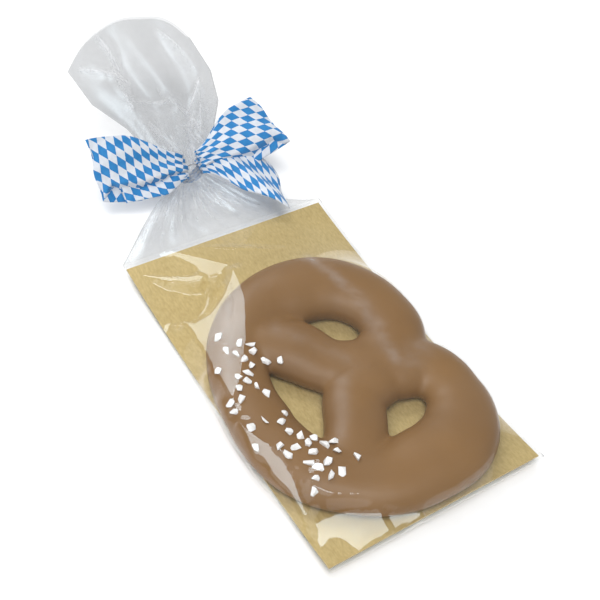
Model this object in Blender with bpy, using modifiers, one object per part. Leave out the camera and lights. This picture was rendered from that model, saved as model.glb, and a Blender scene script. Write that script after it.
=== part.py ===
"""A chocolate-coated gingerbread pretzel with coarse sugar, lying on a gold card in a tied clear bag.

The pack lies flat with its shown side up. Lengths are metres, +Z is up, and the card's length runs
along Y towards the bag's neck. Shapes are drawn in the card's own frame (card centre at X = Y = 0,
table at Z = 0), and the empty "pack" moves them so that the origin is at the middle of the pack's base.
"""

import math
import random

import bmesh
import bpy
import numpy as np
from mathutils import Euler, Vector
from mathutils.bvhtree import BVHTree

MM = 0.001

# ---- driving dimensions -------------------------------------------------------------------------

CARD_WIDTH = 130 * MM
CARD_LENGTH = 209 * MM
CARD_THICKNESS = 0.8 * MM
CARD_BOW = 5 * MM            # how far both ends of the card curl up
CARD_FLAT = 26 * MM          # half the length of the flat middle that the pack rests on

FILM = 0.6 * MM              # wall of the bag
GAP = 0.4 * MM               # between touching pieces
FILM_CLEARANCE = 0.5 * MM    # between the bag and what it is drawn over

CROWN_CENTRE = 5.5 * MM      # height of a strand's middle above the pretzel's flat base
STRAND_FLATNESS = 0.57       # height of a strand's cross-section over its width
PRETZEL_VOXEL = 2.2 * MM
PRETZEL_SOFTENING = 9        # rounds of smoothing over the fused strands
PRETZEL_TRIANGLES = 4300

NECK = Vector((2 * MM, 155 * MM, 15 * MM))     # where the bag is tied
NECK_HALF_WIDTH = 6.5 * MM
NECK_HALF_HEIGHT = 5.0 * MM
TUFT_TILT = math.radians(22.4)
TUFT_LENGTH = 111 * MM       # from the tie to the top of the mouth's curve
TUFT_LEFT_CORNER = 85 * MM   # from the tie to the corners of the mouth
TUFT_RIGHT_CORNER = 87 * MM

RIBBON_WIDTH = 40 * MM
RIBBON_THICKNESS = 0.8 * MM

BASE_CENTRE = (-1.3 * MM, 75.9 * MM)           # middle of the pack's outline in the card's frame
ABOVE_ALL = 100 * MM         # a height from which rays are sent down on the pack
WELD = 0.01 * MM

CARD_BASE = FILM + GAP
PRETZEL_BASE = CARD_BASE + CARD_THICKNESS + GAP

# ---- scene ----------------------------------------------------------------------------------------

for old in list(bpy.data.objects):
    bpy.data.objects.remove(old, do_unlink=True)


def new_collection(name):
    collection = bpy.data.collections.new(name)
    bpy.context.scene.collection.children.link(collection)
    return collection


PARTS = new_collection("gingerbread_pretzel")
GUIDES = new_collection("cutters_and_guides")

pack = bpy.data.objects.new("pack", None)
pack.location = (-BASE_CENTRE[0], -BASE_CENTRE[1], 0.0)
PARTS.objects.link(pack)


def material(name, colour, roughness, metallic=0.0, alpha=1.0):
    made = bpy.data.materials.new(name)
    made.use_nodes = True
    shader = made.node_tree.nodes["Principled BSDF"]
    shader.inputs["Base Color"].default_value = (*colour, 1.0)
    shader.inputs["Roughness"].default_value = roughness
    shader.inputs["Metallic"].default_value = metallic
    shader.inputs["Alpha"].default_value = alpha
    return made


def object_from(mesh, name, collection=GUIDES):
    made = bpy.data.objects.new(name, mesh)
    collection.objects.link(made)
    if collection is GUIDES:
        made.hide_render = True
        made.display_type = "WIRE"
    return made


def finish_part(made, finish, sharp_angle=math.radians(50)):
    """Puts a finished piece under the pack's empty, with its own material and smooth shading."""
    made.data.materials.clear()
    made.data.materials.append(finish)
    made.data.shade_smooth()
    made.data.set_sharp_from_angle(angle=sharp_angle)
    made.parent = pack


def applied(made):
    """The mesh of an object with its modifiers applied; the object itself is removed."""
    depsgraph = bpy.context.evaluated_depsgraph_get()
    mesh = bpy.data.meshes.new_from_object(made.evaluated_get(depsgraph))
    mesh.transform(made.matrix_world)
    bpy.data.objects.remove(made, do_unlink=True)
    return mesh


def bow(y):
    """How far the card has curled up at distance y from its middle."""
    beyond = max(0.0, abs(y) - CARD_FLAT)
    reach = CARD_LENGTH / 2 - CARD_FLAT
    return CARD_BOW * min(1.0, beyond / reach) ** 2


def bend_with_card(mesh):
    for vertex in mesh.vertices:
        vertex.co.z += bow(vertex.co.y)


def smoothstep(t):
    t = min(1.0, max(0.0, t))
    return t * t * (3 - 2 * t)


# ---- card -----------------------------------------------------------------------------------------


def make_card():
    bm = bmesh.new()
    bmesh.ops.create_grid(bm, x_segments=1, y_segments=20, size=0.5)
    for vertex in bm.verts:
        vertex.co.x *= CARD_WIDTH
        vertex.co.y *= CARD_LENGTH
        vertex.co.z = CARD_BASE + bow(vertex.co.y)
    mesh = bpy.data.meshes.new("card")
    bm.to_mesh(mesh)
    bm.free()
    card = object_from(mesh, "card", PARTS)
    thick = card.modifiers.new("board", "SOLIDIFY")
    thick.thickness = CARD_THICKNESS
    thick.offset = 1.0
    finish_part(card, material("gold_card", (0.62, 0.45, 0.17), 0.42, metallic=0.6))
    return card


# ---- pretzel --------------------------------------------------------------------------------------

# Middle lines of the two halves of the rolled dough, from the belly round a lobe and across to the
# other side of the belly, in mm: X, Y from the pretzel's axis, and half the strand's width.
PRETZEL_AXIS_Y = -18.5 * MM
UPPER_STRAND = (
    (-51.5, -6, 17.0), (-50.5, 14, 16.3), (-43.5, 36, 16.5), (-31.0, 53, 17.0), (-13.0, 63, 19.0),
    (6.0, 65, 21.5), (25.0, 61.5, 21.5), (39.5, 50, 20.5), (46.5, 32, 19.0), (44.0, 13, 18.0),
    (30.0, 4, 18.5), (13.0, -5, 20.0), (0.4, -12, 17.5), (-12.0, -30.2, 17.0), (-26.0, -45, 15.0),
)
LOWER_STRAND = (
    (-51.5, 6, 16.5), (-52.0, -14, 17.5), (-46.0, -36, 18.5), (-32.0, -53, 18.5), (-13.0, -63, 20.0),
    (7.0, -63.7, 22.0), (26.5, -61, 22.0), (42.0, -49.5, 20.0), (49.2, -33, 17.0), (45.0, -13, 18.0),
    (31.0, -6, 20.0), (14.0, 2, 19.0), (-0.8, 12, 17.3), (-12.4, 30.2, 20.0), (-27.0, 44, 16.0),
)
TABLE_BLOCK = Vector((300, 300, 40)) * MM      # cuts the base flat


def strand(name, points):
    """A closed tube along a smooth line, flattened to the height of risen dough."""
    curve = bpy.data.curves.new(name, "CURVE")
    curve.dimensions = "3D"
    curve.bevel_depth = 1.0
    curve.bevel_resolution = 5
    curve.resolution_u = 8
    curve.use_fill_caps = True
    spline = curve.splines.new("BEZIER")
    spline.bezier_points.add(len(points) - 1)
    for point, (x, y, half_width) in zip(spline.bezier_points, points):
        point.co = (x * MM, y * MM, 0.0)
        point.radius = half_width * MM
        point.handle_left_type = "AUTO"
        point.handle_right_type = "AUTO"
    made = object_from(curve, name)
    made.scale.z = STRAND_FLATNESS
    made.location = (0.0, PRETZEL_AXIS_Y, CROWN_CENTRE)
    bpy.context.view_layer.update()
    return applied(made)


def joined(name, meshes):
    """One mesh holding several, with the curves' loose caps welded."""
    bm = bmesh.new()
    for mesh in meshes:
        bm.from_mesh(mesh)
    bmesh.ops.remove_doubles(bm, verts=bm.verts, dist=WELD)
    mesh = bpy.data.meshes.new(name)
    bm.to_mesh(mesh)
    bm.free()
    return mesh


def make_dough():
    """The coated pretzel before its sugar: fused strands, softened joins and a flat base."""
    strands = [strand("upper_strand", UPPER_STRAND), strand("lower_strand", LOWER_STRAND)]
    dough = object_from(joined("dough", strands), "dough")

    fuse = dough.modifiers.new("fuse", "REMESH")
    fuse.mode = "VOXEL"
    fuse.voxel_size = PRETZEL_VOXEL
    soften = dough.modifiers.new("soften", "SMOOTH")
    soften.factor = 0.5
    soften.iterations = PRETZEL_SOFTENING

    below = bmesh.new()
    bmesh.ops.create_cube(below, size=1.0)
    block = bpy.data.meshes.new("table_block")
    below.to_mesh(block)
    below.free()
    cutter = object_from(block, "table_block")
    cutter.scale = TABLE_BLOCK
    cutter.location.z = -TABLE_BLOCK.z / 2
    flat = dough.modifiers.new("flat_base", "BOOLEAN")
    flat.operation = "DIFFERENCE"
    flat.object = cutter
    bpy.context.view_layer.update()

    mesh = applied(dough)
    bpy.data.objects.remove(cutter, do_unlink=True)
    dough = object_from(mesh, "dough")
    thin_out = dough.modifiers.new("thin_out", "DECIMATE")
    mesh.calc_loop_triangles()
    thin_out.ratio = PRETZEL_TRIANGLES / len(mesh.loop_triangles)
    bpy.context.view_layer.update()
    mesh = applied(dough)
    for vertex in mesh.vertices:
        vertex.co.z = max(vertex.co.z, 0.0) + PRETZEL_BASE
    bend_with_card(mesh)
    return mesh


# Where each grain of sugar lies, in mm in the card's frame.
GRAINS = (
    (-47, 32), (-48, 21), (-40, 22), (-35, 20), (-36, 15), (-45, 17), (-43, 12), (-41, 7), (-46, 3),
    (-51, 3), (-49, -1), (-55, -3), (-46, -6), (-44, -12), (-57, -9), (-62, -8), (-58, 12), (-63, -13),
    (-61, -26), (-53, -26), (-47, -31), (-32, 8), (-25, 4), (-42, -26), (-64, -37), (-55, -43),
    (-54, -49), (-47, -38), (-43, -43), (-42, -48), (-49, -48), (-37, -46), (-43, -54), (-35, -52),
    (-29, -52), (-31, -58), (-26, -67), (-48, -58), (-46, -63), (-40, -62), (-50, -67), (-43, -69),
    (-37, -70), (-53, -71),
)
GRAIN_LENGTH = 6.4 * MM
GRAIN_SINK = 0.25            # share of a grain's size that is sunk in the coating
GRAIN_SHAPE = ((0.85, 1.2), (0.62, 0.85), (0.5, 0.68))     # range of its sides, as shares of that length
GRAIN_LEAN = 0.3             # greatest tilt out of the coating's plane, in radians
GRAIN_JITTER = (0.86, 1.12)  # how far each corner is pushed in or out
SUGAR_SEED = 5


def grain(name, point, normal, chance):
    """One broken sugar crystal, a jittered and stretched icosahedron."""
    bm = bmesh.new()
    bmesh.ops.create_icosphere(bm, subdivisions=1, radius=0.5)
    stretch = Vector([chance.uniform(*limits) for limits in GRAIN_SHAPE])
    tilts = [chance.uniform(-GRAIN_LEAN, GRAIN_LEAN) for _ in range(2)]
    turn = Euler((*tilts, chance.uniform(0, math.tau)))
    lean = normal.to_track_quat("Z", "Y").to_matrix()
    lift = normal * GRAIN_LENGTH * stretch.z * (0.5 - GRAIN_SINK)
    for vertex in bm.verts:
        corner = vertex.co * chance.uniform(*GRAIN_JITTER) * stretch * GRAIN_LENGTH
        vertex.co = point + lift + lean @ (turn.to_matrix() @ corner)
    mesh = bpy.data.meshes.new(name)
    bm.to_mesh(mesh)
    bm.free()
    return mesh


def make_pretzel():
    mesh = make_dough()
    surface = BVHTree.FromPolygons(
        [v.co.copy() for v in mesh.vertices], [tuple(p.vertices) for p in mesh.polygons]
    )
    chance = random.Random(SUGAR_SEED)
    down = Vector((0, 0, -1))
    sugar = bpy.data.collections.new("sugar")
    for number, (x, y) in enumerate(GRAINS):
        point, normal, _, _ = surface.ray_cast(Vector((x * MM, y * MM, ABOVE_ALL)), down)
        name = f"grain_{number}"
        sugar.objects.link(bpy.data.objects.new(name, grain(name, point, normal, chance)))
    bpy.context.scene.collection.children.link(sugar)

    pretzel = object_from(mesh, "pretzel", PARTS)
    fuse = pretzel.modifiers.new("sugar", "BOOLEAN")
    fuse.operation = "UNION"
    fuse.operand_type = "COLLECTION"
    fuse.collection = sugar
    fuse.solver = "EXACT"
    bpy.context.view_layer.update()
    fused = applied(pretzel)
    for lump in list(sugar.objects):
        bpy.data.objects.remove(lump, do_unlink=True)
    bpy.data.collections.remove(sugar)

    pretzel = object_from(fused, "pretzel", PARTS)
    finish_part(pretzel, material("milk_chocolate", (0.30, 0.18, 0.09), 0.38))
    return pretzel


# ---- clear bag ------------------------------------------------------------------------------------

ACROSS = 20                  # cells across the bag
ALONG = 30                   # cells along the flat part that holds the card
FUNNEL_STATIONS = (0.16, 0.33, 0.50, 0.67, 0.82, 0.93, 1.0)              # card's edge to the tie
TUFT_STATIONS = (0.04, 0.12, 0.22, 0.34, 0.48, 0.62, 0.76, 0.88, 1.0)    # tie to the mouth
TIED = 0.93                  # share of the funnel from which the neck is tied to its full tightness
BAG_END = CARD_LENGTH / 2 + 2.0 * MM
SIDE_SEAM = 1.6 * MM         # how far the flat bag reaches past the card's edges
OVERHANG_SEAM = 2.0 * MM     # and past the pretzel, where that is wider than the card
EDGE_REACH = 9 * MM          # how far along the bag each outermost point of the pretzel spreads it
CELL_REACH = 1.1             # cells within which the film rests on what it covers
MEMBRANE_ROUNDS = 400
MERGE_ANGLE = math.radians(0.4)

# The bag's middle surface and half-thickness past the card.
HALF_THIN = 1.2 * MM         # least half-thickness
CARD_END_HALF = 1.6 * MM     # half-thickness where the card ends
NECK_SLACK = 0.4 * MM        # added to the neck's rounded half-height
FUNNEL_RISE = 1.6            # power by which the funnel climbs to the tie
FUNNEL_SWELL = 1.2 * MM      # how far it puffs out halfway
FUNNEL_PLEAT = 0.9 * MM
LEFT_DRAW = (0.78, 0.22, 6)  # the left edge is drawn in steadily, and the rest close to the tie
RIGHT_DRAW = 0.65            # power by which the right edge is drawn in
MOUTH_FALL = (1.7, 5)        # power by which the mouth falls to its left and right corner
TUFT_PLEAT = 5.0 * MM
TUFT_HALF = 1.25 * MM        # half-thickness of the opened tuft
TUFT_OPENS = 0.35            # share of the tuft over which it flattens out from the neck
CLOSE_INSET = 0.93           # share of the width left to the inner skin near the tie
WIDE_INSET = 0.985           # and in the tuft

# Half-outline of the tuft, from the tie to the mouth: share of its length, left and right edge in mm.
TUFT_EDGES = (
    (0.00, -6.5, 6.5), (0.04, -6.5, 6.5), (0.12, -12.0, 14.0), (0.25, -20.0, 27.0),
    (0.45, -25.0, 39.0), (0.70, -38.5, 44.0), (1.00, -43.5, 41.5),
)


def tuft_edges(share):
    for (s0, left0, right0), (s1, left1, right1) in zip(TUFT_EDGES, TUFT_EDGES[1:]):
        if share <= s1:
            t = (share - s0) / (s1 - s0)
            return (left0 + (left1 - left0) * t) * MM, (right0 + (right1 - right0) * t) * MM
    return TUFT_EDGES[-1][1] * MM, TUFT_EDGES[-1][2] * MM


def side_edges(y, contents):
    """Left and right edge of the flat bag at one station: the card's, or the pretzel's if wider."""
    near = contents[np.abs(contents[:, 1] - y) < EDGE_REACH, 0]
    left = -CARD_WIDTH / 2 - SIDE_SEAM
    right = CARD_WIDTH / 2 + SIDE_SEAM
    if near.size:
        left = min(left, near.min() - OVERHANG_SEAM)
        right = max(right, near.max() + OVERHANG_SEAM)
    return left, right


def drawn_film(stations, contents):
    """Inner height of the film over the contents, as a taut membrane on a grid of stations."""
    columns = ACROSS + 1
    floor = np.zeros((len(stations), columns))
    reach_y = CELL_REACH * 2 * BAG_END / ALONG
    for row, (y, left, right) in enumerate(stations):
        beside = contents[np.abs(contents[:, 1] - y) < reach_y]
        reach_x = CELL_REACH * (right - left) / ACROSS
        for column in range(columns):
            x = left + (right - left) * column / ACROSS
            under = beside[np.abs(beside[:, 0] - x) < reach_x, 2]
            tallest = CARD_BASE + CARD_THICKNESS + bow(y)
            if under.size:
                tallest = max(tallest, under.max())
            floor[row, column] = tallest + FILM_CLEARANCE
    for column in range(1, columns - 1):
        middle, _, half = bag_ring("funnel", 0.0, 2 * column / ACROSS - 1)
        floor[-1, column] = middle.z + half - FILM
    height = floor.copy()
    for _ in range(MEMBRANE_ROUNDS):
        mean = height.copy()
        mean[1:-1, 1:-1] = 0.25 * (
            height[:-2, 1:-1] + height[2:, 1:-1] + height[1:-1, :-2] + height[1:-1, 2:]
        )
        height = np.maximum(floor, mean)
    return height


def bag_ring(stretch, share, u):
    """Middle surface and half-thickness of the bag past the card, at u from -1 (left) to 1 (right)."""
    dome = math.sqrt(max(0.0, 1 - u * u))
    if stretch == "funnel":
        left = -CARD_WIDTH / 2 - SIDE_SEAM
        right = CARD_WIDTH / 2 + SIDE_SEAM
        drawn_in = min(1.0, share / TIED)
        steady, late, power = LEFT_DRAW
        left += (NECK.x - NECK_HALF_WIDTH - left) * (steady * drawn_in + late * drawn_in ** power)
        right += (NECK.x + NECK_HALF_WIDTH - right) * drawn_in ** RIGHT_DRAW
        y = BAG_END + (NECK.y - BAG_END) * share
        flat = CARD_BOW + CARD_END_HALF
        z = flat + (NECK.z - flat) * share ** FUNNEL_RISE
        pleat = FUNNEL_PLEAT * math.cos(5 * math.pi * u) * math.sin(math.pi * share)
        half = CARD_END_HALF + (NECK_HALF_HEIGHT * dome + NECK_SLACK - CARD_END_HALF) * share ** 3
        half += FUNNEL_SWELL * dome * math.sin(math.pi * share)
        middle = Vector(((left + right) / 2 + (right - left) / 2 * u, y, z + pleat))
        return middle, Vector((0, 0, 1)), max(half, HALF_THIN)
    left, right = tuft_edges(share)
    along = Vector((0, math.cos(TUFT_TILT), math.sin(TUFT_TILT)))
    normal = Vector((0, -math.sin(TUFT_TILT), math.cos(TUFT_TILT)))
    if u < 0:
        reach = TUFT_LENGTH - (TUFT_LENGTH - TUFT_LEFT_CORNER) * abs(u) ** MOUTH_FALL[0]
    else:
        reach = TUFT_LENGTH - (TUFT_LENGTH - TUFT_RIGHT_CORNER) * u ** MOUTH_FALL[1]
    pleat = TUFT_PLEAT * math.sin(2.5 * math.pi * u + 0.6) * math.sin(math.pi * (share * 0.8 + 0.06))
    pleat *= 1 - 0.8 * u * u
    x = (left + right) / 2 + (right - left) / 2 * u
    middle = NECK + Vector((x, 0, 0)) + along * reach * share + normal * pleat
    half = NECK_HALF_HEIGHT * dome + NECK_SLACK
    half += (TUFT_HALF - half) * smoothstep(share / TUFT_OPENS)
    return middle, normal, max(half, HALF_THIN)


def bag_rings(contents):
    """Rings of (outer top, outer bottom, inner top, inner bottom) points from the end to the mouth."""
    stations = []
    for row in range(ALONG + 1):
        y = -BAG_END + 2 * BAG_END * row / ALONG
        stations.append((y, *side_edges(y, contents)))
    height = drawn_film(stations, contents)

    rings = []
    for row, (y, left, right) in enumerate(stations):
        ring = []
        inner_y = y + (FILM if row == 0 else 0.0)
        middle = (left + right) / 2
        inset = 1 - 2 * FILM / (right - left)
        for column in range(ACROSS + 1):
            x = left + (right - left) * column / ACROSS
            inner_x = middle + (x - middle) * inset
            top = height[row, column]
            base = bow(y)
            ring.append((
                Vector((x, y, top + FILM)), Vector((x, y, base)),
                Vector((inner_x, inner_y, top)), Vector((inner_x, inner_y, base + FILM)),
            ))
        rings.append(ring)

    past_card = [("funnel", share) for share in FUNNEL_STATIONS]
    past_card += [("tuft", share) for share in TUFT_STATIONS]
    for stretch, share in past_card:
        ring = []
        edge_inset = CLOSE_INSET if stretch == "funnel" or share < 0.2 else WIDE_INSET
        for column in range(ACROSS + 1):
            u = 2 * column / ACROSS - 1
            middle, normal, half = bag_ring(stretch, share, u)
            inner_middle, inner_normal, inner_half = bag_ring(stretch, share, u * edge_inset)
            inner_half = min(inner_half, half) - FILM
            ring.append((
                middle + normal * half, middle - normal * half,
                inner_middle + inner_normal * inner_half, inner_middle - inner_normal * inner_half,
            ))
        rings.append(ring)
    return rings


def make_bag(pretzel):
    """A flat bag as one wall: outer skin, inner skin, closed end and open mouth."""
    contents = np.array([vertex.co for vertex in pretzel.data.vertices])
    rings = bag_rings(contents)
    bm = bmesh.new()
    skins = []
    for top, bottom in ((0, 1), (2, 3)):
        skin = []
        for ring in rings:
            loop = [bm.verts.new(point[top]) for point in ring]
            loop += [bm.verts.new(point[bottom]) for point in reversed(ring)]
            skin.append(loop)
        skins.append(skin)
    outer, inner = skins
    around = len(outer[0])
    for skin in skins:
        for ring, following in zip(skin, skin[1:]):
            for i in range(around):
                j = (i + 1) % around
                bm.faces.new((ring[i], ring[j], following[j], following[i]))
        for i in range(ACROSS):
            end = skin[0]
            bm.faces.new((end[i], end[i + 1], end[around - 2 - i], end[around - 1 - i]))
    for i in range(around):
        j = (i + 1) % around
        bm.faces.new((outer[-1][i], outer[-1][j], inner[-1][j], inner[-1][i]))
    bmesh.ops.recalc_face_normals(bm, faces=bm.faces)
    mesh = bpy.data.meshes.new("bag")
    bm.to_mesh(mesh)
    bm.free()

    bag = object_from(mesh, "bag", PARTS)
    merge_flat = bag.modifiers.new("merge_flat", "DECIMATE")
    merge_flat.decimate_type = "DISSOLVE"
    merge_flat.angle_limit = MERGE_ANGLE
    finish_part(bag, material("clear_film", (0.93, 0.94, 0.95), 0.08, alpha=0.3))
    return bag


# ---- ribbon ---------------------------------------------------------------------------------------

RIBBON_AT_KNOT = 0.24        # share of its width that the ribbon keeps where it is drawn together
BOW_LEAN = math.radians(33)  # the bow leans back with the film it is tied round
BOW_ACROSS = Vector((0, math.cos(BOW_LEAN), math.sin(BOW_LEAN)))
BOW_UP = Vector((0, -math.sin(BOW_LEAN), math.cos(BOW_LEAN)))
KNOT = NECK + Vector((0, -3, 10)) * MM
LOOP_SWELL = 6.5 * MM        # height of a loop's upper half above its middle, at its fullest
LOOP_SAG = 4.0 * MM          # depth of its lower half
LOOP_POINT = 0.8             # power that keeps a loop's way straight until its end turns

# The bow's pieces: where each ends, which way its width lies there, and for loops its share of the width.
LEFT_LOOP = (NECK + Vector((-58.5, 8, 15)) * MM, Vector((0, 0.53, 0.85)), 0.88)
RIGHT_LOOP = (NECK + Vector((56, 1, 21)) * MM, Vector((-0.33, 0.82, 0.47)), 0.91)
# For tails: a point that bends the way, the end, and the width's way there.
RIGHT_TAIL = (Vector((30, 146, 28)) * MM, Vector((47, 121, 13)) * MM, Vector((0.31, 0.95, 0)))
LEFT_TAIL = (Vector((-20, 157, 28)) * MM, Vector((-43, 163, 26.5)) * MM, Vector((0, 0.75, 0.66)))
TAIL_SPREAD = 1.3            # how soon a tail reaches its full width

KNOT_RING_BAND = 0.16        # thickness of the turn round the neck over its radius
KNOT_RING_SIZE = Vector((NECK_HALF_WIDTH + 2.2 * MM, NECK_HALF_HEIGHT + 2.6 * MM, 14 * MM))
KNOT_BEAD_SIZE = Vector((6.0, 6.2, 3.4)) * MM
KNOT_BEAD_TURN = math.radians(-12)


def ribbon_band(name, path, cells=3):
    """A strip of ribbon through (middle point, direction of its width, share of its width) stations."""
    bm = bmesh.new()
    rows = []
    for point, across, share in path:
        width = across.normalized() * RIBBON_WIDTH * share
        rows.append([bm.verts.new(point + width * (i / cells - 0.5)) for i in range(cells + 1)])
    for row, following in zip(rows, rows[1:]):
        for i in range(cells):
            bm.faces.new((row[i], row[i + 1], following[i + 1], following[i]))
    mesh = bpy.data.meshes.new(name)
    bm.to_mesh(mesh)
    bm.free()
    band = object_from(mesh, name)
    thick = band.modifiers.new("cloth", "SOLIDIFY")
    thick.thickness = RIBBON_THICKNESS
    thick.offset = 0.0
    bpy.context.view_layer.update()
    return applied(band)


def loop(name, end, end_across, full_share, steps=14):
    """One loop of the bow: out from the knot on top, round its end and back underneath."""
    path = []
    for i in range(steps + 1):
        t = i / steps
        distance = math.sin(math.pi * t) ** LOOP_POINT
        fullness = math.sin(math.pi * min(t, 1 - t) * 1.6 + 0.35)
        lift = BOW_UP * math.cos(math.pi * t) * fullness * (LOOP_SWELL if t < 0.5 else LOOP_SAG)
        across = BOW_ACROSS.lerp(end_across, distance)
        share = RIBBON_AT_KNOT + (full_share - RIBBON_AT_KNOT) * smoothstep(distance * 1.5)
        path.append((KNOT.lerp(end, distance) + lift, across, share))
    return ribbon_band(name, path)


def tail(name, middle, end, end_across, steps=8):
    """A free end of the ribbon, over the gathered film and down to where it is cut."""
    path = []
    for i in range(steps + 1):
        t = i / steps
        point = KNOT * (1 - t) ** 2 + middle * 2 * t * (1 - t) + end * t * t
        share = RIBBON_AT_KNOT + (1 - RIBBON_AT_KNOT) * smoothstep(t * TAIL_SPREAD)
        path.append((point, BOW_ACROSS.lerp(end_across, smoothstep(t)), share))
    return ribbon_band(name, path)


def knot_ring():
    """The turn of ribbon drawn tight round the neck."""
    bpy.ops.mesh.primitive_torus_add(
        major_segments=18, minor_segments=6, major_radius=1.0, minor_radius=KNOT_RING_BAND, location=NECK,
        rotation=(TUFT_TILT / 2 - math.pi / 2, 0, 0),
    )
    ring = bpy.context.object
    ring.scale = KNOT_RING_SIZE
    bpy.context.view_layer.update()
    return applied(ring)


def knot_bead():
    """The bundled ribbon where loops and tails meet."""
    bpy.ops.mesh.primitive_uv_sphere_add(segments=12, ring_count=6, radius=1.0, location=KNOT)
    bead = bpy.context.object
    bead.rotation_euler = (BOW_LEAN, 0, KNOT_BEAD_TURN)
    bead.scale = KNOT_BEAD_SIZE
    bpy.context.view_layer.update()
    return applied(bead)


def make_ribbon():
    pieces = [
        loop("left_loop", *LEFT_LOOP),
        loop("right_loop", *RIGHT_LOOP),
        tail("right_tail", *RIGHT_TAIL),
        tail("left_tail", *LEFT_TAIL),
        knot_ring(),
    ]
    others = bpy.data.collections.new("ribbon_pieces")
    bpy.context.scene.collection.children.link(others)
    for number, mesh in enumerate(pieces):
        others.objects.link(bpy.data.objects.new(f"ribbon_piece_{number}", mesh))
    ribbon = object_from(knot_bead(), "ribbon", PARTS)
    fuse = ribbon.modifiers.new("tie", "BOOLEAN")
    fuse.operation = "UNION"
    fuse.operand_type = "COLLECTION"
    fuse.collection = others
    fuse.solver = "EXACT"
    bpy.context.view_layer.update()
    fused = applied(ribbon)
    for piece in list(others.objects):
        bpy.data.objects.remove(piece, do_unlink=True)
    bpy.data.collections.remove(others)
    ribbon = object_from(fused, "ribbon", PARTS)
    finish_part(ribbon, material("lozenge_ribbon", (0.10, 0.33, 0.68), 0.6))
    return ribbon


card = make_card()
pretzel = make_pretzel()
bag = make_bag(pretzel)
ribbon = make_ribbon()
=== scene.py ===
"""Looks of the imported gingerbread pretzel: chocolate, sugar, gold card, clear film and lozenge ribbon.

Shapes are drawn in the card's own frame (card centre at X = Y = 0, table at Z = 0, the neck of the bag
towards +Y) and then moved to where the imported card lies. Lengths are metres, but millimetres in the
tables of points and in the functions that say so.
"""

import math
import random

import bmesh
import bpy
import numpy as np
from mathutils import Euler, Matrix, Vector
from mathutils.bvhtree import BVHTree


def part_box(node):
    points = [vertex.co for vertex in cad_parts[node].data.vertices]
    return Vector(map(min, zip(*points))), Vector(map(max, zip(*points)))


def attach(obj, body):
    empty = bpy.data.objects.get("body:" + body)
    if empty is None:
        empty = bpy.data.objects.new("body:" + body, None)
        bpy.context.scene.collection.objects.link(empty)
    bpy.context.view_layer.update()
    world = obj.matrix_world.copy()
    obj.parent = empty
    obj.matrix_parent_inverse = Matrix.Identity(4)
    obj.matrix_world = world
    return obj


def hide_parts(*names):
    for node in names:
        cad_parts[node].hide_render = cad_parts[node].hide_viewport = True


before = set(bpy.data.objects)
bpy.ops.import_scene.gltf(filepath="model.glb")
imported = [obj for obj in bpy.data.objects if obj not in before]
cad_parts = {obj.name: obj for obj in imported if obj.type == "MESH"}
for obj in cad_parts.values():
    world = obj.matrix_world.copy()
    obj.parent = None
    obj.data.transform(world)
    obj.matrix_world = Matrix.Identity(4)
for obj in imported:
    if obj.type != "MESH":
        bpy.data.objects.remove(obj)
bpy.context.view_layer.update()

MM = 0.001


def mm(x, y, z):
    return Vector((x, y, z)) * MM


# ---- dimensions, as in the CAD model ----

CARD_WIDTH = 130 * MM
CARD_LENGTH = 209 * MM
CARD_THICKNESS = 0.8 * MM
CARD_BOW = 5 * MM
CARD_FLAT = 26 * MM
FILM = 0.6 * MM
GAP = 0.4 * MM
CARD_BASE = FILM + GAP
CARD_TOP = CARD_BASE + CARD_THICKNESS
PRETZEL_BASE = CARD_TOP + GAP
BAG_END = CARD_LENGTH / 2 + 2 * MM

NECK = mm(2, 155, 15)
NECK_HALF_WIDTH = 6.5 * MM
NECK_HALF_HEIGHT = 5.0 * MM
TUFT_TILT = math.radians(22.4)
TUFT_ALONG = Vector((0, math.cos(TUFT_TILT), math.sin(TUFT_TILT)))
TUFT_NORMAL = Vector((0, -math.sin(TUFT_TILT), math.cos(TUFT_TILT)))

card_low, card_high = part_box("card")
CARD_MIDDLE = Vector(((card_low.x + card_high.x) / 2, (card_low.y + card_high.y) / 2, 0))


# ---- camera and light ----

# Fitted to the four corners of the card in the photograph.
CAMERA_FROM_CARD = Vector((-0.2380, -0.2577, 0.4329))
CAMERA_RIGHT = Vector((0.83875, -0.53154, 0.11814))
CAMERA_UP = Vector((0.33138, 0.67045, 0.66384))
CAMERA_BACK = Vector((-0.43207, -0.51765, 0.73848))
LENS, SENSOR = 61.44, 36.0  # mm
NEAREST_SEEN = 0.01

ROOM_COLOUR = (0.97, 0.985, 1.0, 1.0)
ROOM_STRENGTH = 0.43
LAMP_POWER = 4  # watts of an area lamp of one square metre with a radiance of one
# Each lamp's name, its direction and distance from the pack, its size and its radiance.
SOFTBOXES = (
    ("key_softbox", (0.03, 0.75, 0.66), 2.4, (1.06, 1.06), 4.4),
    ("front_softbox", (-0.20, -0.12, 0.97), 2.0, (1.35, 0.72), 5.4),
    ("fill_softbox", (-0.65, -0.40, 0.65), 1.7, (1.9, 1.9), 0.85),
)


def add_camera():
    data = bpy.data.cameras.new("camera")
    data.lens = LENS
    data.sensor_width = SENSOR
    data.clip_start = NEAREST_SEEN
    camera = bpy.data.objects.new("camera", data)
    bpy.context.scene.collection.objects.link(camera)
    turn = Matrix((CAMERA_RIGHT, CAMERA_UP, CAMERA_BACK)).transposed()
    camera.matrix_world = Matrix.Translation(CARD_MIDDLE + CAMERA_FROM_CARD) @ turn.to_4x4()
    bpy.context.scene.camera = camera


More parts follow.
